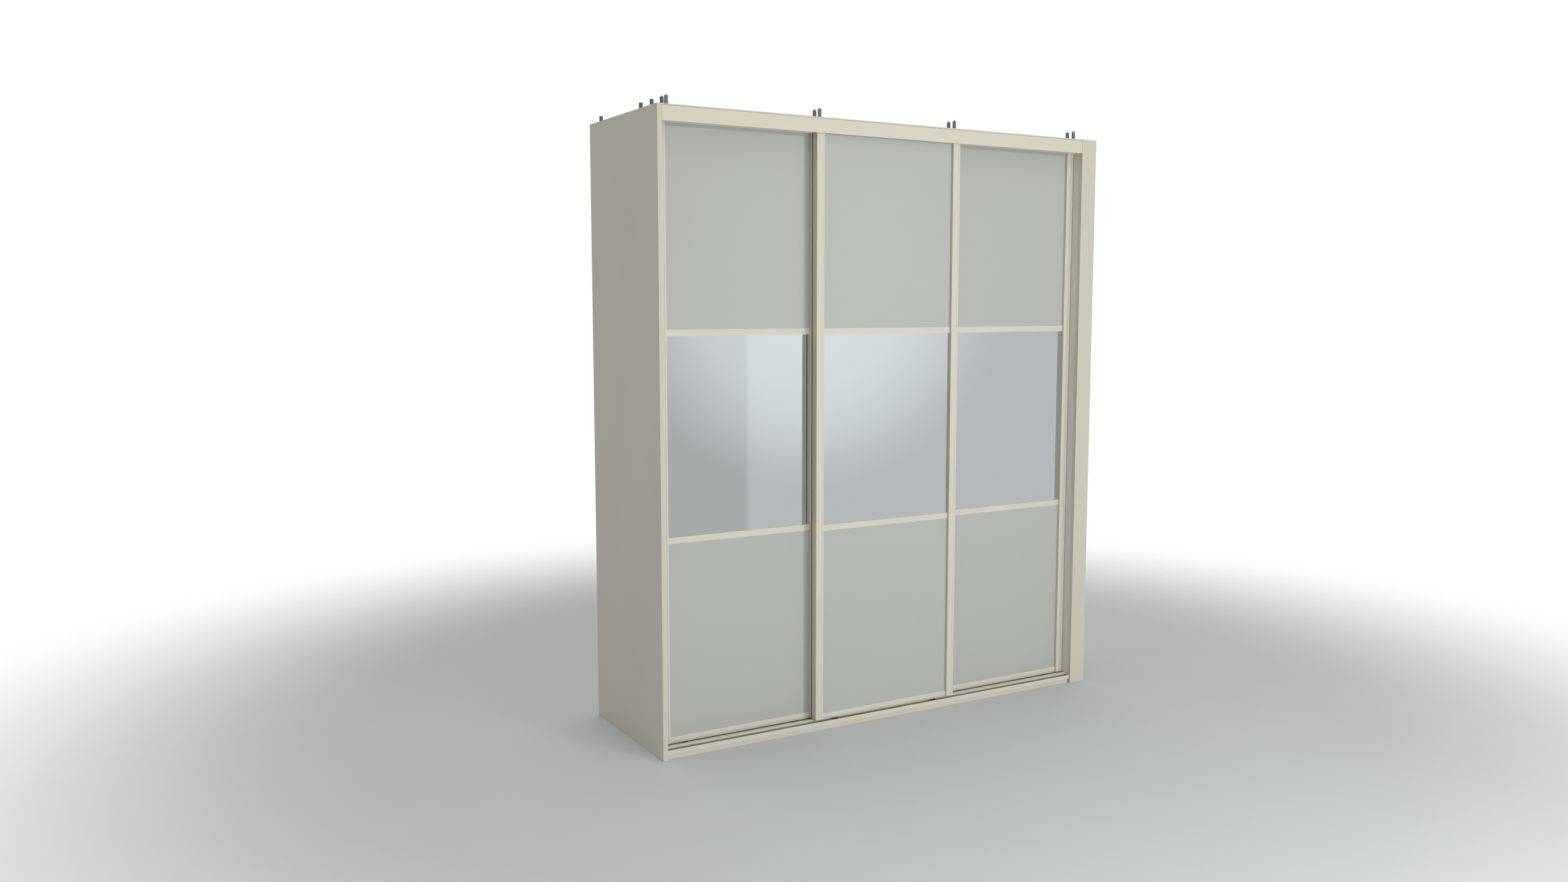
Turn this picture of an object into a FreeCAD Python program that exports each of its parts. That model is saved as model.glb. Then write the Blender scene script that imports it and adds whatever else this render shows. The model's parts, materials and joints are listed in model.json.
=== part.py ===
import FreeCAD, Part
import os

# A three-door sliding wardrobe, in millimetres.
# +X runs to the right along the front, +Y runs back into the depth and +Z is up.
# The origin is on the floor, in the middle of the width and of the depth.
# Depths called offsets are measured back from the front edge of the end panel.

# Overall sizes
OVERALL_WIDTH = 2018.0
OVERALL_DEPTH = 620.0
CARCASS_HEIGHT = 2326.0
BOARD = 18.0
EDGE_RADIUS = 0.8

LEFT = -OVERALL_WIDTH / 2
RIGHT = OVERALL_WIDTH / 2
FRONT = -OVERALL_DEPTH / 2
BACK = OVERALL_DEPTH / 2

# Fixed front: filler post on the right, opening between it and the end panel
POST_WIDTH = 76.0
OPENING_LEFT = LEFT + BOARD
OPENING_RIGHT = RIGHT - POST_WIDTH
OPENING_WIDTH = OPENING_RIGHT - OPENING_LEFT
BATTEN_DEPTH = 38.0
TOP_UNDERSIDE = CARCASS_HEIGHT - BOARD
TOP_PANEL_OFFSET = 1.0
TOP_REBATE_OFFSET = 14.0
TOP_REBATE_LEVEL = 2321.2
FLOOR_LINER_OFFSET = 10.7
FLOOR_LINER_END_GAP = 5.0
BACK_BOARD = 8.0
BACK_BOARD_GAP = 1.5

# Doors
DOOR_NAMES = ("left_door", "middle_door", "right_door")
DOOR_DEPTH = 29.4
FRONT_DOOR_OFFSET = 9.5
TRACK_PITCH = 41.9
DOOR_OVERLAP = 31.5
DOOR_END_GAP = 1.5
DOOR_BOTTOM = 42.0
DOOR_TOP = 2296.0
DOOR_WIDTH = (OPENING_WIDTH - 2 * DOOR_END_GAP + 2 * DOOR_OVERLAP) / 3

# Door frame sections: depths are measured back from the door's own front
STILE_WIDTH = 33.2
STILE_WALL = 2.0
LIP_WIDTH = 7.6
LIP_DROP = 1.4
GROOVE_WIDTH = 1.2
GROOVE_DEPTH = 1.9
CROWN_DROP = 1.6
RAIL_FRONT = 7.0
RAIL_BACK = 24.0
RAIL_BEVEL_BACK = 10.7
RAIL_BEVEL_HEIGHT = 5.5
SHADOW_GROOVE_LOW = 45.0
SHADOW_GROOVE_HIGH = 47.4
SHADOW_GROOVE_BACK = 9.2
RAIL_SKIRT_FRONT = 7.8
RAIL_SKIRT_TOE = 9.4
RAIL_SKIRT_BOTTOM = 38.6
BOTTOM_RAIL_TOP = 62.4
TOP_RAIL_BOTTOM = 2273.0
MID_RAIL_FRONT = 10.5
MID_RAIL_BACK = 20.0
MID_RAIL_HEIGHT = 23.4
MID_RAIL_CENTRES = (790.9, 1539.8)
FRAME_SCREW_LENGTH = 51.2
OUTER_RAIL_SCREW_DEPTH = 20.2
OUTER_RAIL_SCREW_INSET = 5.0
MID_RAIL_SCREW_DEPTH = 14.0

# Glazing: panes sit in slots in the stiles and rails
SLOT_FRONT = 11.5
SLOT_BACK = 16.5
SLOT_DEPTH = 6.0
STILE_SLOT_DEPTH = 8.0
PANE_FRONT = 12.0
PANE_THICKNESS = 4.0
PANE_BITE = 5.0

# Bottom track
TRACK_FRONT_OFFSET = 8.0
TRACK_FLOOR = 2.0
TRACK_WALL = 1.6
TRACK_LIP_TOP = 34.0
RIDGE_OFFSET = 28.5
RIDGE_SHOULDER = 34.8
RIDGE_TOP = 39.4
RIDGE_BEVEL = 5.0
CHANNEL_WIDTH = 18.5
REAR_RIDGE_WIDTH = 15.0
BEAD_HEIGHT = 1.5
TRACK_SCREW_PITCH = 570.0
TRACK_SCREW_OFFSETS = (15.5, 57.4)
TRACK_SCREW_LENGTH = 18.0

# Top track and fascia
TOP_TRACK_BOTTOM = 2270.0
TOP_TRACK_ROOF = 2.0
TOP_WEB = 1.5
TOP_CHANNEL_HALF = 17.0
TONGUE_DEPTH = 1.5
TONGUE_LOW = 2290.0
TONGUE_HIGH = 2296.0
FASCIA_BOTTOM = 2268.7
FASCIA_TOP = 2320.5
FASCIA_WALL = 1.8
FASCIA_BOTTOM_WALL = 1.2
FASCIA_RIB = 1.5
FASCIA_RIB_LEVELS = (2288.0, 2296.3)
FASCIA_END_GAP = 1.5

# Rollers and guides
WHEEL_RADIUS = 15.0
WHEEL_WIDTH = 5.0
WHEEL_LIFT = 0.3
WHEEL_DEPTH = 15.7
WHEEL_INSET = 95.0
WHEEL_RIM_INNER = 11.5
WHEEL_HUB_RADIUS = 6.0
WHEEL_WEB = 2.4
WHEEL_GROOVE_RADIUS = 1.9
AXLE_RADIUS = 3.0
AXLE_CLEARANCE = 0.05
AXLE_HEAD_RADIUS = 4.5
CARRIER_PLATE = 2.0
CARRIER_FRONT = 10.7
CARRIER_HALF_WIDTH = 14.0
CARRIER_BOTTOM = 30.0
CARRIER_CORNER = 6.0
AXLE_HEAD_LENGTH = 1.0
AXLE_STEM_BEHIND = 1.1
RAIL_ROOF = 54.2
GUIDE_HEIGHT = 5.0
GUIDE_CLEARANCE = 0.6
GUIDE_SPIGOT = 13.0
GUIDE_EASING = 2.0
SPIGOT_PLAY = 0.1

# Fixings through the top
CEILING_SCREW_INSET = 29.0
CEILING_ROW_OFFSETS = (26.4, 62.7)
CEILING_COLUMNS = 4
SIDE_PLUG_INSET = 20.5
SIDE_PLUG_OFFSETS = (128.0, 222.6, 599.0)
PLUG_RADIUS = 7.0
PLUG_HEIGHT = 31.5
PLUG_RIBS = 10
PLUG_GROOVE = 0.5
SCREW_RADIUS = 2.0
SCREW_TIP_HEIGHT = 37.0
SCREW_TIP_RADIUS = 0.4
CEILING_SCREW_TIP_LENGTH = 1.0
CEILING_SCREW_TIP_RADIUS = 1.5
PANEL_SCREW_LENGTH = 50.0
LOW_PANEL_SCREW_OFFSETS = (18.0, 44.0, 330.0, 590.0)
HIGH_PANEL_SCREW_OFFSETS = (90.0, 330.0, 560.0)

# Interior
DIVIDER_OFFSET = 95.0
SHELF_OFFSET = 110.0
SHELF_SIDE_GAP = 0.5
BAYS = 3
BAY_WIDTH = (OPENING_WIDTH - (BAYS - 1) * BOARD) / BAYS
SIDE_SHELF_LEVELS = (420.0, 1980.0)
MIDDLE_SHELF_LEVELS = (420.0, 810.0, 1200.0, 1590.0, 1980.0)
PIN_RADIUS = 2.5
PIN_LENGTH = 16.0
PIN_DEPTH = 8.0
PIN_INSET = 60.0
HANGING_RAIL_LEVEL = 1905.0
HANGING_RAIL_OFFSET = 345.0
HANGING_RAIL_RADIUS = 12.5
HANGING_RAIL_WALL = 1.5
SOCKET_FLANGE_RADIUS = 24.0
SOCKET_FLANGE = 3.0
SOCKET_RADIUS = 15.5
SOCKET_LENGTH = 14.0

X_AXIS = FreeCAD.Vector(1, 0, 0)
Y_AXIS = FreeCAD.Vector(0, 1, 0)
Z_AXIS = FreeCAD.Vector(0, 0, 1)


# Building blocks

def box(x0, x1, y0, y1, z0, z1):
    """A block between two corners."""
    return Part.makeBox(x1 - x0, y1 - y0, z1 - z0, FreeCAD.Vector(x0, y0, z0))


def rod(radius, length, start, direction):
    """A round bar from start, along direction."""
    return Part.makeCylinder(radius, length, FreeCAD.Vector(*start), direction)


def group(solids):
    """Several separate solids of one kind, kept apart."""
    return Part.makeCompound(solids)


def save(name, shape):
    """Write one sub-part."""
    shape.exportStep("parts/" + name + ".step")


def face_of(steps, place):
    """A flat face from an outline of points; a step of two points is an arc through them.

    place turns a pair of section coordinates into a point in space.
    """
    edges = []
    start = place(*steps[0])
    here = start
    for step in steps[1:] + [steps[0]]:
        if len(step) == 4:
            middle = place(step[0], step[1])
            there = place(step[2], step[3])
            edges.append(Part.Arc(here, middle, there).toShape())
        else:
            there = place(*step)
            if there.distanceToPoint(here) > 1e-6:
                edges.append(Part.LineSegment(here, there).toShape())
        here = there
    return Part.Face(Part.Wire(edges))


def bar_along_x(steps, x0, x1, front):
    """Extrude a section of (depth, height) pairs from x0 to x1; depths start at front."""
    section = face_of(steps, lambda depth, height: FreeCAD.Vector(x0, front + depth, height))
    return section.extrude(FreeCAD.Vector(x1 - x0, 0, 0))


def slot_steps(floor, opening):
    """The glazing slot in a rail, from its back edge round to its front edge."""
    return [(SLOT_BACK, opening), (SLOT_BACK, floor), (SLOT_FRONT, floor), (SLOT_FRONT, opening)]


def turned(steps, centre, axis):
    """A turned part: (distance along the axis, radius) pairs, spun about an axis along Y."""
    section = face_of(
        steps,
        lambda along, radius: FreeCAD.Vector(centre[0] + radius, centre[1] + along, centre[2]),
    )
    return section.revolve(FreeCAD.Vector(*centre), axis, 360)


def rounded_board(x0, x1, y0, y1, z0, z1):
    """A board with its two upright front edges eased."""
    board = box(x0, x1, y0, y1, z0, z1)
    front_edges = [
        edge for edge in board.Edges
        if edge.BoundBox.ZLength > 1 and abs(edge.BoundBox.YMin - y0) < 1e-6
    ]
    return board.makeFillet(EDGE_RADIUS, front_edges)


def screw(start, direction, length, head_radius, head_length, tip_length=4.0, tip_radius=SCREW_TIP_RADIUS):
    """A countersunk screw: a cone head at start, a plain shank and a tapered tip."""
    origin = FreeCAD.Vector(*start)
    head = Part.makeCone(head_radius, SCREW_RADIUS, head_length, origin, direction)
    shank_start = origin + direction * head_length
    shank_length = length - head_length - tip_length
    shank = Part.makeCylinder(SCREW_RADIUS, shank_length, shank_start, direction)
    tip_start = shank_start + direction * shank_length
    tip = Part.makeCone(SCREW_RADIUS, tip_radius, tip_length, tip_start, direction)
    return head.fuse(shank).fuse(tip).removeSplitter()


# Layout shared by several parts

def door_left_edge(index):
    """The closed door's left edge."""
    return OPENING_LEFT + DOOR_END_GAP + index * (DOOR_WIDTH - DOOR_OVERLAP)


def door_front(index):
    """The door's front plane: the middle door runs in the front track, the others behind it."""
    behind = 0.0 if index == 1 else TRACK_PITCH
    return FRONT + FRONT_DOOR_OFFSET + behind


def bay_edges(index):
    """Inner faces of one storage bay."""
    start = OPENING_LEFT + index * (BAY_WIDTH + BOARD)
    return start, start + BAY_WIDTH


def shelf_levels(index):
    """Undersides of the shelves in one bay."""
    return MIDDLE_SHELF_LEVELS if index == 1 else SIDE_SHELF_LEVELS


# Fixings that the boards are drilled for

def ceiling_points():
    """Where the long screws pass up through the top track and the top panel."""
    first = OPENING_LEFT + CEILING_SCREW_INSET
    pitch = (OPENING_WIDTH - 2 * CEILING_SCREW_INSET) / (CEILING_COLUMNS - 1)
    return [
        (first + column * pitch, FRONT + offset)
        for column in range(CEILING_COLUMNS)
        for offset in CEILING_ROW_OFFSETS
    ]


def side_points():
    """Where the shorter screws pass up through the top panel beside the end panel."""
    return [(LEFT + BOARD + SIDE_PLUG_INSET, FRONT + offset) for offset in SIDE_PLUG_OFFSETS]


def make_ceiling_screws():
    """Screws up through the top, heads below; the eight by the doors show their blunt tips."""
    screws = []
    track_seat = TOP_UNDERSIDE - TOP_TRACK_ROOF
    tip = (CEILING_SCREW_TIP_LENGTH, CEILING_SCREW_TIP_RADIUS)
    for x, y in ceiling_points():
        length = CARCASS_HEIGHT + SCREW_TIP_HEIGHT - track_seat
        screws.append(screw((x, y, track_seat), Z_AXIS, length, 4.0, 2.0, *tip))
    for x, y in side_points():
        length = BOARD + PLUG_HEIGHT - 4.0
        screws.append(screw((x, y, TOP_UNDERSIDE), Z_AXIS, length, 4.0, 2.5, *tip))
    return screws


def make_ceiling_plugs(screws):
    """Ribbed wall plugs round the screws, standing on the top panel."""
    rib_pitch = PLUG_HEIGHT / PLUG_RIBS
    plugs = []
    for x, y in ceiling_points() + side_points():
        plug = rod(PLUG_RADIUS, PLUG_HEIGHT, (x, y, CARCASS_HEIGHT), Z_AXIS)
        for rib in range(1, PLUG_RIBS):
            level = CARCASS_HEIGHT + rib * rib_pitch
            ring = Part.makeTorus(PLUG_RADIUS, PLUG_GROOVE, FreeCAD.Vector(x, y, level), Z_AXIS)
            plug = plug.cut(ring)
        plugs.append(plug)
    return [plug.cut(screw_solid) for plug, screw_solid in zip(plugs, screws)]


def make_track_screws():
    """Countersunk screws through the bottom track's two channels into the floor liner."""
    centre = (OPENING_LEFT + OPENING_RIGHT) / 2
    level = BOARD + TRACK_FLOOR
    screws = []
    for column in (-1, 0, 1):
        x = centre + column * TRACK_SCREW_PITCH
        for offset in TRACK_SCREW_OFFSETS:
            screws.append(screw((x, FRONT + offset, level), Z_AXIS * -1, TRACK_SCREW_LENGTH, 3.8, 1.9))
    return screws


def make_panel_screws():
    """Screws through the end panel into the ends of the floor liner and the top panel."""
    places = [(offset, BOARD / 2) for offset in LOW_PANEL_SCREW_OFFSETS]
    places += [(offset, CARCASS_HEIGHT - BOARD / 2) for offset in HIGH_PANEL_SCREW_OFFSETS]
    return [
        screw((LEFT, FRONT + offset, level), X_AXIS, PANEL_SCREW_LENGTH, 3.6, 2.2)
        for offset, level in places
    ]


def make_shelf_pins():
    """Four support pins under each shelf, half in the board beside it."""
    pins = []
    for bay in range(BAYS):
        left, right = bay_edges(bay)
        for level in shelf_levels(bay):
            for y in (FRONT + SHELF_OFFSET + PIN_INSET, BACK - BACK_BOARD - PIN_INSET):
                for start in (left - PIN_DEPTH, right + PIN_DEPTH - PIN_LENGTH):
                    pins.append(rod(PIN_RADIUS, PIN_LENGTH, (start, y, level - PIN_RADIUS), X_AXIS))
    return pins


# Carcass

def make_back_panels():
    """Three thin back boards that nearly meet behind the dividers."""
    joints = [OPENING_LEFT]
    joints += [bay_edges(bay)[1] + BOARD / 2 for bay in range(BAYS - 1)]
    joints.append(OPENING_RIGHT)
    half_gap = BACK_BOARD_GAP / 2
    return [
        box(x0 + half_gap, x1 - half_gap, BACK - BACK_BOARD, BACK, BOARD, TOP_UNDERSIDE)
        for x0, x1 in zip(joints, joints[1:])
    ]


def make_top_panel():
    """The top board, rebated along its front edge for the fascia."""
    top_front = FRONT + TOP_PANEL_OFFSET
    rebate_back = FRONT + TOP_REBATE_OFFSET
    board = box(OPENING_LEFT, OPENING_RIGHT, top_front, BACK, TOP_UNDERSIDE, CARCASS_HEIGHT)
    rebate = box(OPENING_LEFT, OPENING_RIGHT, top_front, rebate_back, TOP_UNDERSIDE, TOP_REBATE_LEVEL)
    return board.cut(rebate)


def make_shelves():
    """Loose shelves that rest on pins."""
    shelves = []
    for bay in range(BAYS):
        left, right = bay_edges(bay)
        for level in shelf_levels(bay):
            shelves.append(box(
                left + SHELF_SIDE_GAP, right - SHELF_SIDE_GAP,
                FRONT + SHELF_OFFSET, BACK - BACK_BOARD - 1.0,
                level, level + BOARD,
            ))
    return shelves


def make_hanging_rails():
    """One tube across each outer bay, with its ends in flanged sockets."""
    rails, sockets = [], []
    y = FRONT + HANGING_RAIL_OFFSET
    for bay in (0, BAYS - 1):
        left, right = bay_edges(bay)
        start, length = left + SOCKET_FLANGE, right - left - 2 * SOCKET_FLANGE
        place = (start, y, HANGING_RAIL_LEVEL)
        outer = rod(HANGING_RAIL_RADIUS, length, place, X_AXIS)
        inner = rod(HANGING_RAIL_RADIUS - HANGING_RAIL_WALL, length, place, X_AXIS)
        rails.append(outer.cut(inner))
        for side, direction in ((left, X_AXIS), (right, X_AXIS * -1)):
            centre = (side, y, HANGING_RAIL_LEVEL)
            cup_start = FreeCAD.Vector(*centre) + direction * SOCKET_FLANGE
            flange = rod(SOCKET_FLANGE_RADIUS, SOCKET_FLANGE, centre, direction)
            cup = Part.makeCylinder(SOCKET_RADIUS, SOCKET_LENGTH, cup_start, direction)
            hole = Part.makeCylinder(HANGING_RAIL_RADIUS, SOCKET_LENGTH, cup_start, direction)
            sockets.append(flange.fuse(cup.cut(hole)))
    return rails, sockets


def make_bottom_track():
    """Twin-channel floor track: a front lip, a hollow ridge between the channels and one behind."""
    front = TRACK_FRONT_OFFSET
    lip = front + TRACK_WALL
    floor = BOARD + TRACK_FLOOR
    ridge_end = RIDGE_OFFSET - CHANNEL_WIDTH + TRACK_PITCH
    rear_ridge = ridge_end + CHANNEL_WIDTH
    back = rear_ridge + REAR_RIDGE_WIDTH
    outline = [
        (front, BOARD), (back, BOARD), (back, RIDGE_TOP),
        (rear_ridge + RIDGE_BEVEL, RIDGE_TOP), (rear_ridge, RIDGE_SHOULDER), (rear_ridge, floor),
        (ridge_end, floor), (ridge_end, RIDGE_SHOULDER), (ridge_end - RIDGE_BEVEL, RIDGE_TOP),
        (RIDGE_OFFSET + RIDGE_BEVEL, RIDGE_TOP), (RIDGE_OFFSET, RIDGE_SHOULDER), (RIDGE_OFFSET, floor),
        (lip, floor), (lip, TRACK_LIP_TOP - TRACK_WALL / 2),
        ((front + lip) / 2, TRACK_LIP_TOP, front, TRACK_LIP_TOP - TRACK_WALL / 2),
    ]
    track = bar_along_x(outline, OPENING_LEFT, OPENING_RIGHT, FRONT)
    inner_top = RIDGE_TOP - TRACK_WALL
    inner_shoulder = RIDGE_SHOULDER - TRACK_WALL / 2
    middle_hollow = [
        (RIDGE_OFFSET + TRACK_WALL, floor), (ridge_end - TRACK_WALL, floor),
        (ridge_end - TRACK_WALL, inner_shoulder),
        (ridge_end - RIDGE_BEVEL - TRACK_WALL / 2, inner_top),
        (RIDGE_OFFSET + RIDGE_BEVEL + TRACK_WALL / 2, inner_top),
        (RIDGE_OFFSET + TRACK_WALL, inner_shoulder),
    ]
    rear_hollow = [
        (rear_ridge + TRACK_WALL, floor), (back - TRACK_WALL, floor), (back - TRACK_WALL, inner_top),
        (rear_ridge + RIDGE_BEVEL + TRACK_WALL / 2, inner_top), (rear_ridge + TRACK_WALL, inner_shoulder),
    ]
    for hollow in (middle_hollow, rear_hollow):
        track = track.cut(bar_along_x(hollow, OPENING_LEFT, OPENING_RIGHT, FRONT))
    for behind in (0.0, TRACK_PITCH):
        centre = FRONT_DOOR_OFFSET + WHEEL_DEPTH + behind
        bead = bar_along_x(
            [(centre - BEAD_HEIGHT, floor), (centre + BEAD_HEIGHT, floor),
             (centre, floor + BEAD_HEIGHT, centre - BEAD_HEIGHT, floor)],
            OPENING_LEFT, OPENING_RIGHT, FRONT,
        )
        track = track.fuse(bead)
    return track.removeSplitter()


def channel_walls():
    """Inner faces of the top track's two channels, as (front, back) offsets."""
    centre = FRONT_DOOR_OFFSET + DOOR_DEPTH / 2
    return [
        (centre + behind - TOP_CHANNEL_HALF, centre + behind + TOP_CHANNEL_HALF)
        for behind in (0.0, TRACK_PITCH)
    ]


def make_top_track():
    """Twin inverted channels under the top panel, with a tongue in front for the fascia."""
    roof = TOP_UNDERSIDE - TOP_TRACK_ROOF
    (front_in, front_out), (rear_in, rear_out) = channel_walls()
    outline = [
        (front_in - TOP_WEB, TOP_UNDERSIDE), (front_in - TOP_WEB, TOP_TRACK_BOTTOM),
        (front_in, TOP_TRACK_BOTTOM), (front_in, roof), (front_out, roof),
        (front_out, TOP_TRACK_BOTTOM), (front_out + TOP_WEB, TOP_TRACK_BOTTOM),
        (front_out + TOP_WEB, roof), (rear_in - TOP_WEB, roof),
        (rear_in - TOP_WEB, TOP_TRACK_BOTTOM), (rear_in, TOP_TRACK_BOTTOM),
        (rear_in, roof), (rear_out, roof), (rear_out, TOP_TRACK_BOTTOM),
        (rear_out + TOP_WEB, TOP_TRACK_BOTTOM), (rear_out + TOP_WEB, TOP_UNDERSIDE),
    ]
    track = bar_along_x(outline, OPENING_LEFT, OPENING_RIGHT, FRONT)
    tongue_back = FRONT + front_in - TOP_WEB
    tongue = box(
        OPENING_LEFT, OPENING_RIGHT,
        tongue_back - TONGUE_DEPTH, tongue_back, TONGUE_LOW, TONGUE_HIGH,
    )
    return track.fuse(tongue).removeSplitter()


def make_fascia():
    """A hollow-backed cover strip; two ribs inside grip the top track's tongue."""
    depth = channel_walls()[0][0] - TOP_WEB
    wall = FASCIA_WALL
    outline = [
        (EDGE_RADIUS, FASCIA_BOTTOM), (depth, FASCIA_BOTTOM),
        (depth, FASCIA_BOTTOM + FASCIA_BOTTOM_WALL), (wall, FASCIA_BOTTOM + FASCIA_BOTTOM_WALL),
        (wall, FASCIA_TOP - wall), (TOP_REBATE_OFFSET, FASCIA_TOP - wall),
        (TOP_REBATE_OFFSET, FASCIA_TOP), (EDGE_RADIUS, FASCIA_TOP),
        (0.25, FASCIA_TOP - 0.25, 0.0, FASCIA_TOP - EDGE_RADIUS), (0.0, FASCIA_BOTTOM + EDGE_RADIUS),
        (0.25, FASCIA_BOTTOM + 0.25, EDGE_RADIUS, FASCIA_BOTTOM),
    ]
    x0, x1 = OPENING_LEFT, OPENING_RIGHT - FASCIA_END_GAP
    fascia = bar_along_x(outline, x0, x1, FRONT)
    for level in FASCIA_RIB_LEVELS:
        rib = box(x0, x1, FRONT + wall, FRONT + depth, level, level + FASCIA_RIB)
        fascia = fascia.fuse(rib)
    return fascia.removeSplitter()


def build_carcass():
    """Everything that stays still."""
    ceiling_screws = make_ceiling_screws()
    track_screws = make_track_screws()
    panel_screws = make_panel_screws()
    shelf_pins = make_shelf_pins()
    through_top = group(ceiling_screws)
    into_panel = group(panel_screws)
    into_floor = group(track_screws)
    pins = group(shelf_pins)

    end_panel = rounded_board(LEFT, OPENING_LEFT, FRONT, BACK, 0.0, CARCASS_HEIGHT)
    save("left_end_panel", end_panel.cut(into_panel).cut(pins))
    post = rounded_board(OPENING_RIGHT, RIGHT, FRONT, FRONT + BOARD, 0.0, CARCASS_HEIGHT)
    save("filler_post", post)
    side = box(OPENING_RIGHT, OPENING_RIGHT + BOARD, FRONT + BOARD, BACK, 0.0, CARCASS_HEIGHT)
    save("right_side_panel", side.cut(pins))
    batten_left = OPENING_RIGHT + BOARD
    save("filler_battens", group([
        box(batten_left, RIGHT, y, y + BATTEN_DEPTH, 0.0, CARCASS_HEIGHT)
        for y in (FRONT + BOARD, BACK - BATTEN_DEPTH)
    ]))
    save("top_panel", make_top_panel().cut(through_top).cut(into_panel))
    liner = box(
        OPENING_LEFT, OPENING_RIGHT - FLOOR_LINER_END_GAP,
        FRONT + FLOOR_LINER_OFFSET, BACK, 0.0, BOARD,
    )
    save("floor_liner", liner.cut(into_floor).cut(into_panel))
    save("back_panels", group(make_back_panels()))
    for bay, name in enumerate(("left_divider", "right_divider")):
        edge = bay_edges(bay)[1]
        divider = box(
            edge, edge + BOARD,
            FRONT + DIVIDER_OFFSET, BACK - BACK_BOARD, BOARD, TOP_UNDERSIDE,
        )
        save(name, divider.cut(pins))
    save("shelves", group(make_shelves()))
    save("shelf_pins", pins)
    rails, sockets = make_hanging_rails()
    save("hanging_rails", group(rails))
    save("rail_sockets", group(sockets))
    save("top_track", make_top_track().cut(through_top))
    save("fascia", make_fascia())
    save("bottom_track", make_bottom_track().cut(into_floor))
    save("track_screws", into_floor)
    save("ceiling_screws", through_top)
    save("ceiling_plugs", group(make_ceiling_plugs(ceiling_screws)))
    save("panel_screws", into_panel)


# Doors

def stile_steps():
    """The stile's outer section as (across, depth): two rounded lips beside a crowned face."""
    w = STILE_WIDTH
    crown_start = LIP_WIDTH + GROOVE_WIDTH
    return [
        (0.0, DOOR_DEPTH), (0.0, LIP_DROP),
        (LIP_WIDTH / 2, 0.0, LIP_WIDTH, LIP_DROP),
        (LIP_WIDTH + GROOVE_WIDTH / 2, GROOVE_DEPTH), (crown_start, CROWN_DROP),
        (w / 2, 0.0, w - crown_start, CROWN_DROP),
        (w - LIP_WIDTH - GROOVE_WIDTH / 2, GROOVE_DEPTH), (w - LIP_WIDTH, LIP_DROP),
        (w - LIP_WIDTH / 2, 0.0, w, LIP_DROP),
        (w, SLOT_FRONT), (w - STILE_SLOT_DEPTH, SLOT_FRONT),
        (w - STILE_SLOT_DEPTH, SLOT_BACK), (w, SLOT_BACK), (w, DOOR_DEPTH),
    ]


def make_stile(edge, front, inward):
    """A hollow upright; inward is +1 when the glass is to its right, -1 when to its left."""
    def place(across, depth):
        return FreeCAD.Vector(edge + inward * across, front + depth, DOOR_BOTTOM)

    up = FreeCAD.Vector(0, 0, DOOR_TOP - DOOR_BOTTOM)
    inner = STILE_WIDTH - STILE_SLOT_DEPTH
    chambers = (
        (STILE_WALL, STILE_WIDTH - STILE_WALL, GROOVE_DEPTH + STILE_WALL, SLOT_FRONT - STILE_WALL),
        (STILE_WALL, inner - STILE_WALL, SLOT_FRONT, DOOR_DEPTH - STILE_WALL),
        (inner, STILE_WIDTH - STILE_WALL, SLOT_BACK + STILE_WALL, DOOR_DEPTH - STILE_WALL),
    )
    stile = face_of(stile_steps(), place).extrude(up)
    for near, far, shallow, deep in chambers:
        chamber = face_of([(near, shallow), (far, shallow), (far, deep), (near, deep)], place)
        stile = stile.cut(chamber.extrude(up))
    return stile


def bottom_rail_steps():
    """Bevelled front, shadow groove and leaning skirt below, glazing slot above, hollow under."""
    wall = STILE_WALL
    return [
        (RAIL_BACK, DOOR_BOTTOM), (RAIL_BACK, BOTTOM_RAIL_TOP),
        *slot_steps(BOTTOM_RAIL_TOP - SLOT_DEPTH, BOTTOM_RAIL_TOP),
        (RAIL_BEVEL_BACK, BOTTOM_RAIL_TOP), (RAIL_FRONT, BOTTOM_RAIL_TOP - RAIL_BEVEL_HEIGHT),
        (RAIL_FRONT, SHADOW_GROOVE_HIGH), (SHADOW_GROOVE_BACK, SHADOW_GROOVE_HIGH),
        (SHADOW_GROOVE_BACK, SHADOW_GROOVE_LOW), (RAIL_SKIRT_FRONT, SHADOW_GROOVE_LOW),
        (RAIL_SKIRT_TOE, RAIL_SKIRT_BOTTOM),
        (CARRIER_FRONT, RAIL_SKIRT_BOTTOM), (CARRIER_FRONT, RAIL_ROOF),
        (RAIL_BACK - wall, RAIL_ROOF), (RAIL_BACK - wall, DOOR_BOTTOM),
    ]


def top_rail_steps():
    """The bottom rail's shape turned over, open at the top inside the track."""
    wall = STILE_WALL
    floor = TOP_RAIL_BOTTOM + SLOT_DEPTH + 4.0
    slot = slot_steps(TOP_RAIL_BOTTOM + SLOT_DEPTH, TOP_RAIL_BOTTOM)
    return [
        (RAIL_FRONT, TOP_RAIL_BOTTOM + RAIL_BEVEL_HEIGHT), (RAIL_FRONT, DOOR_TOP),
        (RAIL_FRONT + wall, DOOR_TOP), (RAIL_FRONT + wall, floor),
        (RAIL_BACK - wall, floor), (RAIL_BACK - wall, DOOR_TOP),
        (RAIL_BACK, DOOR_TOP), (RAIL_BACK, TOP_RAIL_BOTTOM),
        *slot, (RAIL_BEVEL_BACK, TOP_RAIL_BOTTOM),
    ]


def mid_rail_steps(centre):
    """A flat bar with a glazing slot above and below."""
    low = centre - MID_RAIL_HEIGHT / 2
    high = centre + MID_RAIL_HEIGHT / 2
    return [
        (MID_RAIL_FRONT, low), (MID_RAIL_FRONT, high),
        *reversed(slot_steps(high - SLOT_DEPTH, high)),
        (MID_RAIL_BACK, high), (MID_RAIL_BACK, low),
        *slot_steps(low + SLOT_DEPTH, low),
    ]


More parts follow.
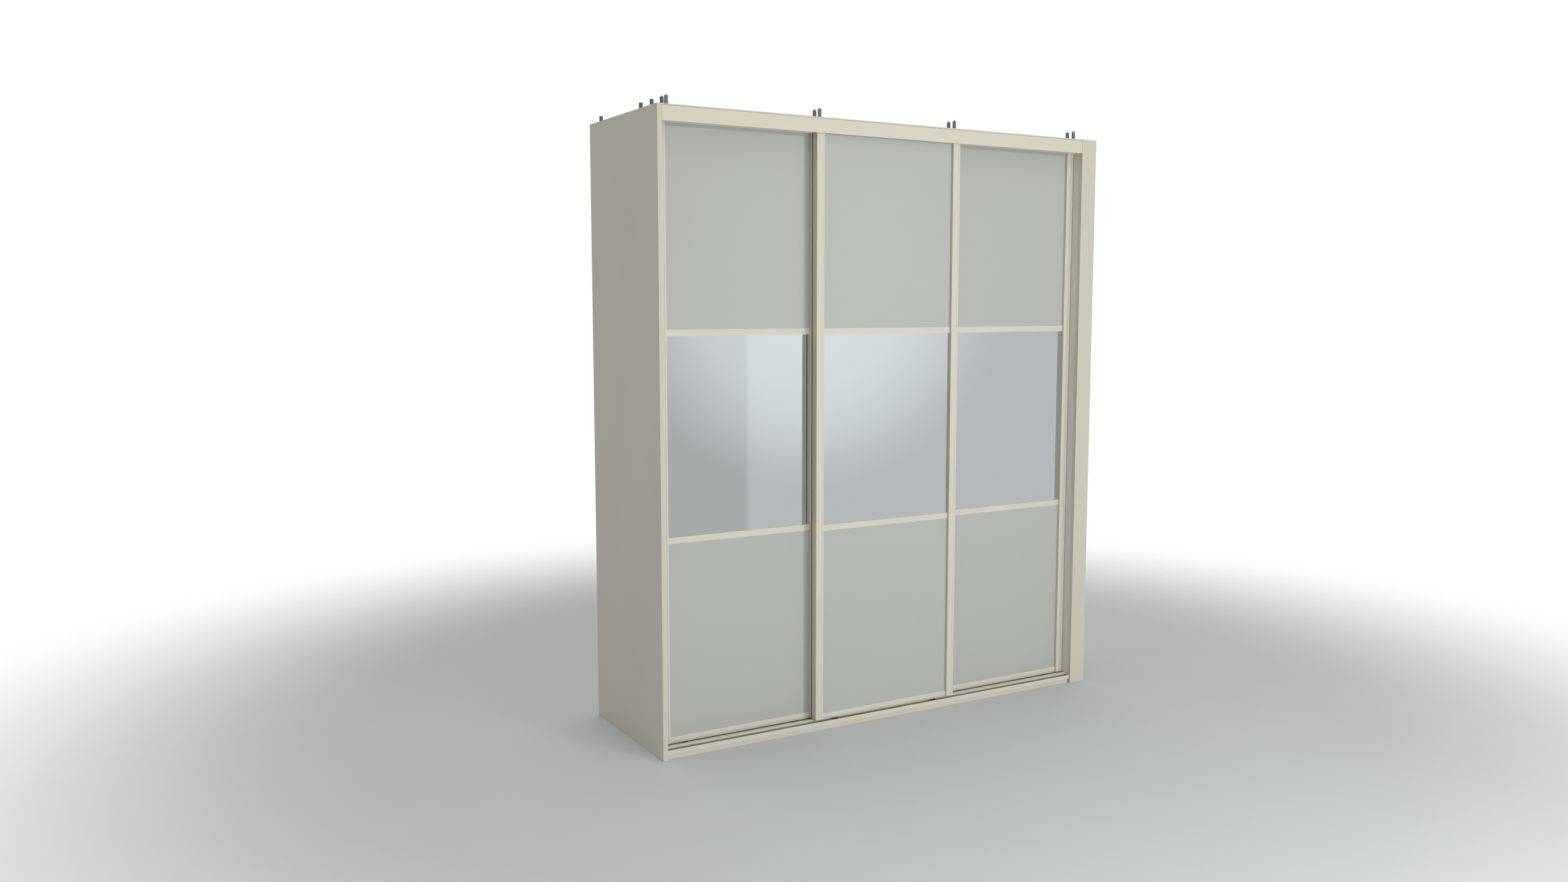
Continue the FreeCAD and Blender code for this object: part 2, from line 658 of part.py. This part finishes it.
def make_pane(x0, x1, front, low, high):
    """A glass pane that runs into the slots on all four sides."""
    return box(
        x0 - PANE_BITE, x1 + PANE_BITE,
        front + PANE_FRONT, front + PANE_FRONT + PANE_THICKNESS,
        low - PANE_BITE, high + PANE_BITE,
    )


def make_frame_screws(left, right, front):
    """Screws through each stile into the ends of the four rails."""
    places = [
        (OUTER_RAIL_SCREW_DEPTH, BOTTOM_RAIL_TOP - OUTER_RAIL_SCREW_INSET),
        (OUTER_RAIL_SCREW_DEPTH, TOP_RAIL_BOTTOM + OUTER_RAIL_SCREW_INSET),
    ]
    places += [(MID_RAIL_SCREW_DEPTH, centre) for centre in MID_RAIL_CENTRES]
    screws = []
    for depth, level in places:
        for edge, direction in ((left, X_AXIS), (right, X_AXIS * -1)):
            start = (edge, front + depth, level)
            screws.append(screw(start, direction, FRAME_SCREW_LENGTH, 3.6, 2.0))
    return screws


def wheel_centre(x, front):
    """The middle of a wheel, which runs on the bead in its channel."""
    height = BOARD + TRACK_FLOOR + WHEEL_LIFT + WHEEL_RADIUS
    return x, front + WHEEL_DEPTH, height


def make_wheel(x, front):
    """A dished wheel with a grooved tread and a plain bore."""
    half = WHEEL_WIDTH / 2
    bore = AXLE_RADIUS + AXLE_CLEARANCE
    web_back = -half + 0.6 + WHEEL_WEB
    steps = [
        (-half, bore), (-half, WHEEL_HUB_RADIUS), (-half + 0.6, WHEEL_HUB_RADIUS),
        (-half + 0.6, WHEEL_RIM_INNER), (-half, WHEEL_RIM_INNER),
        (-half, WHEEL_RADIUS), (-WHEEL_GROOVE_RADIUS, WHEEL_RADIUS),
        (0.0, WHEEL_RADIUS - WHEEL_GROOVE_RADIUS, WHEEL_GROOVE_RADIUS, WHEEL_RADIUS),
        (half, WHEEL_RADIUS), (half, WHEEL_RIM_INNER), (web_back, WHEEL_RIM_INNER),
        (web_back, WHEEL_HUB_RADIUS), (1.0, WHEEL_HUB_RADIUS), (1.0, bore),
    ]
    return turned(steps, wheel_centre(x, front), Y_AXIS)


def make_carrier(x, front):
    """A bent steel bracket and the headed axle that it holds."""
    centre = wheel_centre(x, front)
    plate_front = front + CARRIER_FRONT
    plate = box(
        x - CARRIER_HALF_WIDTH, x + CARRIER_HALF_WIDTH,
        plate_front, plate_front + CARRIER_PLATE, CARRIER_BOTTOM, RAIL_ROOF,
    )
    flange = box(
        x - CARRIER_HALF_WIDTH, x + CARRIER_HALF_WIDTH,
        plate_front, front + RAIL_BACK - STILE_WALL, RAIL_ROOF - CARRIER_PLATE, RAIL_ROOF,
    )
    bracket = plate.fuse(flange).removeSplitter()
    lower_corners = [
        edge for edge in bracket.Edges
        if abs(edge.BoundBox.ZMax - CARRIER_BOTTOM) < 1e-6 and edge.BoundBox.XLength < 1e-6
    ]
    bracket = bracket.makeFillet(CARRIER_CORNER, lower_corners)
    head_front = centre[1] + AXLE_STEM_BEHIND
    shank = rod(AXLE_RADIUS, head_front - plate_front, (centre[0], plate_front, centre[2]), Y_AXIS)
    head = rod(AXLE_HEAD_RADIUS, AXLE_HEAD_LENGTH, (centre[0], head_front, centre[2]), Y_AXIS)
    axle = shank.fuse(head).removeSplitter()
    return bracket.cut(axle), axle


def make_top_guide(edge, front, inward):
    """A cap on the stile's top end that runs between the top track's walls."""
    half = TOP_CHANNEL_HALF - GUIDE_CLEARANCE
    middle = front + DOOR_DEPTH / 2
    inner = STILE_WIDTH - STILE_SLOT_DEPTH
    ends = sorted((edge + inward * 1.0, edge + inward * (STILE_WIDTH - 1.0)))
    cap = box(ends[0], ends[1], middle - half, middle + half, DOOR_TOP, DOOR_TOP + GUIDE_HEIGHT)
    cap = cap.makeFillet(GUIDE_EASING, [
        line for line in cap.Edges
        if line.BoundBox.ZLength > 1 or line.BoundBox.ZMin > DOOR_TOP + 1
    ])
    near = STILE_WALL + SPIGOT_PLAY
    plug = sorted((edge + inward * near, edge + inward * (inner - near)))
    spigot = box(
        plug[0], plug[1],
        front + SLOT_FRONT + SPIGOT_PLAY, front + DOOR_DEPTH - near,
        DOOR_TOP - GUIDE_SPIGOT, DOOR_TOP,
    )
    return cap.fuse(spigot).removeSplitter()


def build_door(index):
    """One framed door with three panes, its rollers and its guides."""
    name = DOOR_NAMES[index]
    left = door_left_edge(index)
    right = left + DOOR_WIDTH
    front = door_front(index)
    inner_left, inner_right = left + STILE_WIDTH, right - STILE_WIDTH
    screws = group(make_frame_screws(left, right, front))

    save(name + "_left_stile", make_stile(left, front, 1).cut(screws))
    save(name + "_right_stile", make_stile(right, front, -1).cut(screws))
    for rail, steps in (("_bottom_rail", bottom_rail_steps()), ("_top_rail", top_rail_steps())):
        save(name + rail, bar_along_x(steps, inner_left, inner_right, front).cut(screws))
    save(name + "_mid_rails", group([
        bar_along_x(mid_rail_steps(centre), inner_left, inner_right, front).cut(screws)
        for centre in MID_RAIL_CENTRES
    ]))

    half_rail = MID_RAIL_HEIGHT / 2
    lower, upper = MID_RAIL_CENTRES
    panes = (
        ("_lower_glass", BOTTOM_RAIL_TOP, lower - half_rail),
        ("_mirror", lower + half_rail, upper - half_rail),
        ("_upper_glass", upper + half_rail, TOP_RAIL_BOTTOM),
    )
    for pane, low, high in panes:
        save(name + pane, make_pane(inner_left, inner_right, front, low, high))

    wheel_places = (("_left_wheel", left + WHEEL_INSET), ("_right_wheel", right - WHEEL_INSET))
    carriers = []
    for wheel, x in wheel_places:
        save(name + wheel, make_wheel(x, front))
        carriers.extend(make_carrier(x, front))
    save(name + "_roller_carriers", group(carriers))
    save(name + "_top_guides", group([
        make_top_guide(left, front, 1),
        make_top_guide(right, front, -1),
    ]))
    save(name + "_frame_screws", screws)


os.makedirs("parts", exist_ok=True)
build_carcass()
for door_index in range(len(DOOR_NAMES)):
    build_door(door_index)
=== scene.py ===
import json
import math

import bpy
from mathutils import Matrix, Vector


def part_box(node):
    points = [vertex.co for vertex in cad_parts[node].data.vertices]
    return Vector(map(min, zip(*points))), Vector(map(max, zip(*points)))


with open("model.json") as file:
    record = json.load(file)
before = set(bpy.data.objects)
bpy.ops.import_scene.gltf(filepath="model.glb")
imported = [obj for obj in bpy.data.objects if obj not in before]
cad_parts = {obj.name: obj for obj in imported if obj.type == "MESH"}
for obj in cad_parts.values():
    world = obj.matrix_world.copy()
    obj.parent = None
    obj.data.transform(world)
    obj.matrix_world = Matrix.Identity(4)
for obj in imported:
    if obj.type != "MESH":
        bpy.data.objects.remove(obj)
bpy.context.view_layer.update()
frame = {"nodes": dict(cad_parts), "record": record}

scene = bpy.context.scene

# Camera, in metres and radians, with the lens in millimetres
CAMERA_PLACE = (-2.869, -4.394, 1.632)
CAMERA_TURN = 0.5243
CAMERA_TILT = -0.1046
CAMERA_LENS = 29.37
CAMERA_SENSOR = 36.0
CAMERA_REACH = 200.0

# Paint and board colours, linear
CASHMERE = (0.618, 0.585, 0.484)
CASHMERE_FOIL = (0.668, 0.632, 0.525)
# Painted shade: the darker grey painted inside the floor track's channels
CHANNEL_SHADE_GREY = (0.380, 0.392, 0.332)
LINEN = (0.72, 0.70, 0.65)
HARDBOARD = (0.70, 0.69, 0.66)
PINE_LIGHT = (0.62, 0.44, 0.25)
PINE_DARK = (0.49, 0.31, 0.15)
GLASS_PAINT = (0.463, 0.485, 0.450)
SILVERING = (0.86, 0.90, 0.90)
FLOOR_GREY = (0.69, 0.72, 0.715)

# The floor track's section, in metres, which also bounds the painted shade inside its channels
RIDGE_SHOULDER_DROP = 0.0046
TRACK_LIP_WALL = 0.0012

# Lights: places and targets in metres, powers in watts, softness in degrees
FILL_PLACE = (0.05, -4.2, 1.3)
FILL_TARGET = (-0.15, -0.3, 3.3)
FILL_SIZE = (3.4, 2.2)
FILL_POWER = 98
OVERHEAD_PLACE = (0.4, -2.2, 4.6)
OVERHEAD_TARGET = (0.2, -0.6, 1.0)
OVERHEAD_SIZE = (3.0, 2.0)
OVERHEAD_POWER = 17
KEY_PLACE = (1.9, -4.2, 0.5)
KEY_TARGET = (0, 0, 0)
KEY_STRENGTH = 0.50
KEY_SOFTNESS = 0.8

# Surroundings, as linear light, with turns and tilts in degrees
AMBIENT_FRONT = 0.22
AMBIENT_BACK = 0.86
WALL_LEFT = (0.440, 0.450, 0.455)
WALL_RIGHT = (0.530, 0.542, 0.548)
WALL_FLOOR = (0.400, 0.420, 0.425)
WALL_GLOW = (0.265, 0.271, 0.274)
WALL_CORNER_TURN = 28.4
WALL_FLOOR_TILT = -11.9
GLOW_TURN = 31.0
GLOW_TILT = 0.5
GLOW_RADIUS = 9.0
WALL_CORNER_BLUR = 0.003
WALL_FLOOR_BLUR_BELOW = 0.01
WALL_FLOOR_BLUR_ABOVE = 0.004

# Staged floor, in metres from its middle
FLOOR_HALF = 12.0
FLOOR_DROP = 0.0005
FLOOR_FADE_START = 1.9
FLOOR_FADE_END = 4.2


class Paint:
    """A node material: a principled shader, and short ways to add and join nodes."""

    def __init__(self, name):
        self.material = bpy.data.materials.new(name)
        self.material.use_nodes = True
        self.tree = self.material.node_tree
        self.tree.nodes.clear()
        self.shader = self.add("ShaderNodeBsdfPrincipled")
        self.output = self.add("ShaderNodeOutputMaterial")
        self.join(self.shader, "BSDF", self.output, "Surface")
        self.coordinates = self.add("ShaderNodeTexCoord")

    def add(self, kind, **sockets):
        node = self.tree.nodes.new(kind)
        for name, value in sockets.items():
            node.inputs[name.replace("_", " ")].default_value = value
        return node

    def join(self, source, output, target, socket):
        self.tree.links.new(source.outputs[output], target.inputs[socket])

    def set(self, **sockets):
        """Gives the shader constant values."""
        for name, value in sockets.items():
            self.shader.inputs[name.replace("_", " ")].default_value = value

    def stretched(self, scale):
        """Object coordinates stretched by scale."""
        mapping = self.add("ShaderNodeMapping")
        mapping.inputs["Scale"].default_value = scale
        self.join(self.coordinates, "Object", mapping, "Vector")
        return mapping

    def noise(self, scale, stretch=(1, 1, 1), detail=3.0, roughness=0.5, distortion=0.0):
        """Noise with scale features to a metre."""
        node = self.add(
            "ShaderNodeTexNoise", Scale=scale, Detail=detail, Roughness=roughness, Distortion=distortion
        )
        self.join(self.stretched(stretch), "Vector", node, "Vector")
        return node

    def ramp(self, source, output, stops):
        """Colours or greys spread over a texture's value, as (place, colour) pairs."""
        node = self.add("ShaderNodeValToRGB")
        while len(node.color_ramp.elements) < len(stops):
            node.color_ramp.elements.new(0.5)
        for element, (place, colour) in zip(node.color_ramp.elements, stops):
            element.position = place
            element.color = (*colour, 1) if isinstance(colour, tuple) else (colour, colour, colour, 1)
        self.join(source, output, node, "Fac")
        return node

    def bump(self, source, output, distance, strength=1.0, over=None):
        """A height from a texture, in metres, on top of an earlier bump."""
        node = self.add("ShaderNodeBump", Strength=strength, Distance=distance)
        self.join(source, output, node, "Height")
        if over:
            self.join(over, "Normal", node, "Normal")
        self.join(node, "Normal", self.shader, "Normal")
        return node


def tint(colour, factor):
    """A colour made lighter or darker."""
    return tuple(min(1.0, c * factor) for c in colour)


def cashmere_board():
    """Melamine board with a silky pressed texture and slow, faint changes of tone."""
    paint = Paint("cashmere_board")
    tone = paint.noise(2.2, stretch=(1, 1, 0.35), detail=4.0)
    colour = paint.ramp(tone, "Fac", [(0.3, tint(CASHMERE, 0.975)), (0.7, tint(CASHMERE, 1.02))])
    paint.join(colour, "Color", paint.shader, "Base Color")
    wipe = paint.noise(9.0, stretch=(1, 1, 0.2), detail=5.0)
    gloss = paint.ramp(wipe, "Fac", [(0.25, 0.38), (0.75, 0.46)])
    paint.join(gloss, "Color", paint.shader, "Roughness")
    pressed = paint.noise(900.0, detail=2.0)
    paint.bump(pressed, "Fac", 0.00006)
    paint.set(IOR=1.48)
    return paint.material


def interior_board():
    """Pale board with a fine woven print."""
    paint = Paint("interior_board")
    warp = paint.noise(260.0, stretch=(1, 1, 0.06), detail=2.0)
    colour = paint.ramp(warp, "Fac", [(0.3, tint(LINEN, 0.94)), (0.7, tint(LINEN, 1.03))])
    paint.join(colour, "Color", paint.shader, "Base Color")
    weft = paint.noise(260.0, stretch=(0.06, 0.06, 1), detail=2.0)
    first = paint.bump(warp, "Fac", 0.00008)
    paint.bump(weft, "Fac", 0.00008, over=first)
    paint.set(Roughness=0.5, IOR=1.48)
    return paint.material


def back_board():
    """Thin white-faced fibreboard, slightly mottled."""
    paint = Paint("back_board")
    mottle = paint.noise(35.0, detail=6.0, roughness=0.7)
    colour = paint.ramp(mottle, "Fac", [(0.3, tint(HARDBOARD, 0.95)), (0.7, tint(HARDBOARD, 1.02))])
    paint.join(colour, "Color", paint.shader, "Base Color")
    fibres = paint.noise(400.0, detail=3.0)
    paint.bump(fibres, "Fac", 0.0001)
    paint.set(Roughness=0.62)
    return paint.material


def softwood():
    """Planed pine with the grain along its length."""
    paint = Paint("softwood")
    rings = paint.add("ShaderNodeTexWave", Scale=55.0, Distortion=7.0, Detail=3.0, Detail_Scale=1.6)
    rings.wave_type = "RINGS"
    rings.rings_direction = "Z"
    paint.join(paint.stretched((1, 1, 0.05)), "Vector", rings, "Vector")
    colour = paint.ramp(rings, "Fac", [(0.1, PINE_LIGHT), (0.85, PINE_DARK)])
    paint.join(colour, "Color", paint.shader, "Base Color")
    pores = paint.noise(700.0, stretch=(1, 1, 0.05), detail=3.0)
    first = paint.bump(rings, "Fac", 0.0001)
    paint.bump(pores, "Fac", 0.00015, over=first)
    paint.set(Roughness=0.55)
    return paint.material


def foil_paint(name):
    """Coated profile: smooth satin with slow, faint changes of tone and a little orange peel."""
    paint = Paint(name)
    tone = paint.noise(1.5, detail=3.0)
    colour = paint.ramp(
        tone, "Fac", [(0.3, tint(CASHMERE_FOIL, 0.98)), (0.7, tint(CASHMERE_FOIL, 1.015))]
    )
    paint.join(colour, "Color", paint.shader, "Base Color")
    wipe = paint.noise(14.0, detail=4.0)
    gloss = paint.ramp(wipe, "Fac", [(0.25, 0.30), (0.75, 0.37)])
    paint.join(gloss, "Color", paint.shader, "Roughness")
    peel = paint.noise(420.0, detail=1.0)
    paint.bump(peel, "Fac", 0.00003)
    paint.set(IOR=1.5)
    return paint, colour


def cashmere_foil():
    """The finish of the doors' frames, the fascia and the top track."""
    return foil_paint("cashmere_foil")[0].material


def track_with_painted_channel_shade():
    """Coated outside, and inside the channels a darker grey painted on as the shade that falls there."""
    paint, foil = foil_paint("track_with_painted_channel_shade")
    # Painted shade: a streaky darker grey below the ridge's shoulder and behind the lip
    shade_variation = paint.noise(90.0, stretch=(0.04, 1, 1), detail=4.0)
    painted_shade_tone = paint.ramp(
        shade_variation, "Fac", [(0.3, tint(CHANNEL_SHADE_GREY, 0.90)), (0.7, tint(CHANNEL_SHADE_GREY, 1.06))]
    )
    track_low, track_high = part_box("bottom_track")
    place = paint.add("ShaderNodeSeparateXYZ")
    paint.join(paint.coordinates, "Object", place, "Vector")
    below_shoulder = paint.add("ShaderNodeMath")
    below_shoulder.operation = "LESS_THAN"
    below_shoulder.inputs[1].default_value = track_high[2] - RIDGE_SHOULDER_DROP
    paint.join(place, "Z", below_shoulder, 0)
    behind_lip = paint.add("ShaderNodeMath")
    behind_lip.operation = "GREATER_THAN"
    behind_lip.inputs[1].default_value = track_low[1] + TRACK_LIP_WALL
    paint.join(place, "Y", behind_lip, 0)
    painted_shade_mask = paint.add("ShaderNodeMath")
    painted_shade_mask.operation = "MULTIPLY"
    paint.join(below_shoulder, "Value", painted_shade_mask, 0)
    paint.join(behind_lip, "Value", painted_shade_mask, 1)
    finish = paint.add("ShaderNodeMixRGB")
    paint.join(painted_shade_mask, "Value", finish, "Fac")
    paint.join(foil, "Color", finish, "Color1")
    paint.join(painted_shade_tone, "Color", finish, "Color2")
    paint.join(finish, "Color", paint.shader, "Base Color")
    return paint.material


def painted_glass():
    """Glass painted on its back: an even grey-green under a sharp, barely waved gloss."""
    paint = Paint("painted_glass")
    tone = paint.noise(1.1, detail=2.0)
    colour = paint.ramp(tone, "Fac", [(0.3, tint(GLASS_PAINT, 0.985)), (0.7, tint(GLASS_PAINT, 1.01))])
    paint.join(colour, "Color", paint.shader, "Base Color")
    smear = paint.noise(6.0, detail=6.0, roughness=0.65)
    gloss = paint.ramp(smear, "Fac", [(0.3, 0.03), (0.75, 0.06)])
    paint.join(gloss, "Color", paint.shader, "Roughness")
    wave = paint.noise(3.0, stretch=(1, 1, 0.4), detail=0.0)
    paint.bump(wave, "Fac", 0.00008)
    paint.set(IOR=1.52)
    return paint.material


def mirror():
    """Silvered glass with a slight cool cast."""
    paint = Paint("mirror")
    paint.set(Metallic=1.0)
    haze = paint.noise(5.0, detail=6.0, roughness=0.65)
    colour = paint.ramp(haze, "Fac", [(0.3, tint(SILVERING, 0.99)), (0.7, SILVERING)])
    paint.join(colour, "Color", paint.shader, "Base Color")
    gloss = paint.ramp(haze, "Fac", [(0.35, 0.006), (0.8, 0.02)])
    paint.join(gloss, "Color", paint.shader, "Roughness")
    return paint.material


def metal(name, colour, roughness, grain, spangle=0.0):
    """Bright metal with fine marks, and crystal spangle if it is galvanised."""
    paint = Paint(name)
    paint.set(Metallic=1.0)
    marks = paint.noise(grain, detail=4.0)
    shade = paint.ramp(marks, "Fac", [(0.3, tint(colour, 0.93)), (0.7, colour)])
    paint.join(shade, "Color", paint.shader, "Base Color")
    gloss = paint.ramp(marks, "Fac", [(0.3, roughness * 0.8), (0.7, roughness * 1.25)])
    paint.join(gloss, "Color", paint.shader, "Roughness")
    if spangle:
        cells = paint.add("ShaderNodeTexVoronoi", Scale=spangle)
        paint.join(paint.coordinates, "Object", cells, "Vector")
        paint.bump(cells, "Distance", 0.00005, strength=0.4)
    return paint.material


def plain_finish(name, colour, roughness):
    """Moulded plastic or thin paint: soft sheen, a fine texture and slightly uneven colour."""
    paint = Paint(name)
    cloud = paint.noise(60.0, detail=4.0)
    shade = paint.ramp(cloud, "Fac", [(0.3, tint(colour, 0.9)), (0.7, tint(colour, 1.08))])
    paint.join(shade, "Color", paint.shader, "Base Color")
    grain = paint.noise(1800.0, detail=2.0)
    paint.bump(grain, "Fac", 0.00004)
    gloss = paint.ramp(cloud, "Fac", [(0.3, roughness * 0.9), (0.7, roughness * 1.1)])
    paint.join(gloss, "Color", paint.shader, "Roughness")
    return paint.material


MATERIALS = {
    "cashmere_board": cashmere_board(),
    "interior_board": interior_board(),
    "back_board": back_board(),
    "softwood": softwood(),
    "cashmere_foil": cashmere_foil(),
    "painted_glass": painted_glass(),
    "mirror": mirror(),
    "chrome_tube": metal("chrome_tube", (0.80, 0.80, 0.81), 0.12, 40.0),
    "zinc_steel": metal("zinc_steel", (0.62, 0.63, 0.64), 0.32, 120.0, spangle=160.0),
    "black_steel": plain_finish("black_steel", (0.062, 0.061, 0.058), 0.42),
    "grey_nylon": plain_finish("grey_nylon", (0.20, 0.205, 0.19), 0.5),
    "white_nylon": plain_finish("white_nylon", (0.72, 0.72, 0.70), 0.42),
    "black_nylon": plain_finish("black_nylon", (0.022, 0.022, 0.023), 0.45),
}


def paint_nodes():
    """Gives every CAD node the material of the slot it names in the record."""
    slots = {part["node"]: part["material_slot"] for part in frame["record"]["subparts"]}
    for name, thing in frame["nodes"].items():
        thing.data.materials.clear()
        thing.data.materials.append(MATERIALS[slots[name]])
    # The floor track's material has painted shade inside its channels
    frame["nodes"]["bottom_track"].data.materials[0] = track_with_painted_channel_shade()


paint_nodes()


def add_camera():
    """A camera at eye height, left of the wardrobe's front, tipped down a little and not rolled."""
    data = bpy.data.cameras.new("camera")
    data.sensor_width = CAMERA_SENSOR
    data.lens = CAMERA_LENS
    data.clip_end = CAMERA_REACH
    camera = bpy.data.objects.new("camera", data)
    camera.location = CAMERA_PLACE
    camera.rotation_euler = (math.pi / 2 + CAMERA_TILT, 0, -CAMERA_TURN)
    scene.collection.objects.link(camera)
    scene.camera = camera


def place_light(name, data, place, target):
    """Puts a light at a place, aimed at a target. It lights the wardrobe but isn't seen in the mirrors."""
    light = bpy.data.objects.new(name, data)
    light.location = place
    aim = Vector(target) - Vector(place)
    light.rotation_euler = aim.to_track_quat("-Z", "Y").to_euler()
    light.visible_glossy = False
    scene.collection.objects.link(light)


def add_soft_box(name, place, target, size, power):
    """A large soft rectangle of light."""
    data = bpy.data.lights.new(name, "AREA")
    data.shape = "RECTANGLE"
    data.size = size[0]
    data.size_y = size[1]
    data.energy = power
    place_light(name, data, place, target)


def add_key(name, place, target, strength, softness):
    """A distant light that draws the shadows of the fascia and of the front door's edge."""
    data = bpy.data.lights.new(name, "SUN")
    data.energy = strength
    data.angle = math.radians(softness)
    place_light(name, data, place, target)


def direction(turn, tilt):
    """A unit vector that turn degrees from the front, towards the right, points tilt degrees up."""
    turn, tilt = math.radians(turn), math.radians(tilt)
    return Vector((math.sin(turn) * math.cos(tilt), -math.cos(turn) * math.cos(tilt), math.sin(tilt)))


def add_world():
    """White to the camera, soft neutral light on rough surfaces, and plain studio walls in reflections.

    The walls meet in one corner, stand on a darker floor, and have one brighter patch.
    """
    world = bpy.data.worlds.new("studio")
    scene.world = world
    world.use_nodes = True
    nodes = world.node_tree.nodes
    links = world.node_tree.links
    nodes.clear()
    coordinates = nodes.new("ShaderNodeTexCoord")
    path = nodes.new("ShaderNodeLightPath")

    def share(towards, low, high):
        """0 to 1 as the part of the view direction that lies along a vector goes from low to high."""
        along = nodes.new("ShaderNodeVectorMath")
        along.operation = "DOT_PRODUCT"
        links.new(coordinates.outputs["Generated"], along.inputs[0])
        along.inputs[1].default_value = towards
        limits = nodes.new("ShaderNodeMapRange")
        limits.interpolation_type = "SMOOTHSTEP"
        limits.inputs["From Min"].default_value = low
        limits.inputs["From Max"].default_value = high
        links.new(along.outputs["Value"], limits.inputs["Value"])
        return limits.outputs["Result"]

    def light(colour):
        """An even light of one colour."""
        shader = nodes.new("ShaderNodeBackground")
        shader.inputs["Color"].default_value = (*colour, 1)
        return shader.outputs["Background"]

    def blend(factor, first, second):
        """The first light where the factor is 0 and the second where it is 1."""
        mix = nodes.new("ShaderNodeMixShader")
        links.new(factor, mix.inputs["Fac"])
        links.new(first, mix.inputs[1])
        links.new(second, mix.inputs[2])
        return mix.outputs["Shader"]

    corner = direction(WALL_CORNER_TURN + 90, 0)
    floor_level = math.sin(math.radians(WALL_FLOOR_TILT))
    walls = blend(
        share(corner, -WALL_CORNER_BLUR, WALL_CORNER_BLUR), light(WALL_LEFT), light(WALL_RIGHT)
    )
    above_floor = share(
        (0, 0, 1), floor_level - WALL_FLOOR_BLUR_BELOW, floor_level + WALL_FLOOR_BLUR_ABOVE
    )
    room = blend(above_floor, light(WALL_FLOOR), walls)
    glow = nodes.new("ShaderNodeAddShader")
    glow_edge = math.cos(math.radians(GLOW_RADIUS))
    patch = blend(
        share(direction(GLOW_TURN, GLOW_TILT), glow_edge, 1.0), light((0, 0, 0)), light(WALL_GLOW)
    )
    links.new(room, glow.inputs[0])
    links.new(patch, glow.inputs[1])
    ambient = blend(
        share((0, 1, 0), -1, 1), light([AMBIENT_FRONT] * 3), light([AMBIENT_BACK] * 3)
    )
    lit = blend(path.outputs["Is Glossy Ray"], ambient, glow.outputs["Shader"])
    seen = blend(path.outputs["Is Camera Ray"], lit, light((1, 1, 1)))
    output = nodes.new("ShaderNodeOutputWorld")
    links.new(seen, output.inputs["Surface"])


def add_floor():
    """A pale floor that fades away from the wardrobe."""
    half = FLOOR_HALF
    mesh = bpy.data.meshes.new("floor")
    corners = [(-half, -half, 0), (half, -half, 0), (half, half, 0), (-half, half, 0)]
    mesh.from_pydata(corners, [], [(0, 1, 2, 3)])
    floor = bpy.data.objects.new("floor", mesh)
    floor.location = (0, 0, -FLOOR_DROP)
    scene.collection.objects.link(floor)
    paint = Paint("floor")
    paint.set(Roughness=0.7, Specular_IOR_Level=0.2)
    speck = paint.noise(3.0, detail=4.0)
    colour = paint.ramp(speck, "Fac", [(0.3, tint(FLOOR_GREY, 0.99)), (0.7, tint(FLOOR_GREY, 1.01))])
    paint.join(colour, "Color", paint.shader, "Base Color")
    distance = paint.add("ShaderNodeVectorMath")
    distance.operation = "LENGTH"
    paint.join(paint.coordinates, "Object", distance, 0)
    fade = paint.add("ShaderNodeMapRange", From_Min=FLOOR_FADE_START, From_Max=FLOOR_FADE_END)
    fade.interpolation_type = "SMOOTHSTEP"
    paint.join(distance, "Value", fade, "Value")
    clear = paint.add("ShaderNodeBsdfTransparent")
    mix = paint.add("ShaderNodeMixShader")
    paint.join(fade, "Result", mix, "Fac")
    paint.join(paint.shader, "BSDF", mix, 1)
    paint.join(clear, "BSDF", mix, 2)
    paint.join(mix, "Shader", paint.output, "Surface")
    mesh.materials.append(paint.material)


add_camera()
add_world()
add_floor()
add_soft_box("front_fill", FILL_PLACE, FILL_TARGET, FILL_SIZE, FILL_POWER)
add_soft_box("overhead", OVERHEAD_PLACE, OVERHEAD_TARGET, OVERHEAD_SIZE, OVERHEAD_POWER)
add_key("key", KEY_PLACE, KEY_TARGET, KEY_STRENGTH, KEY_SOFTNESS)
scene.view_settings.view_transform = "Standard"
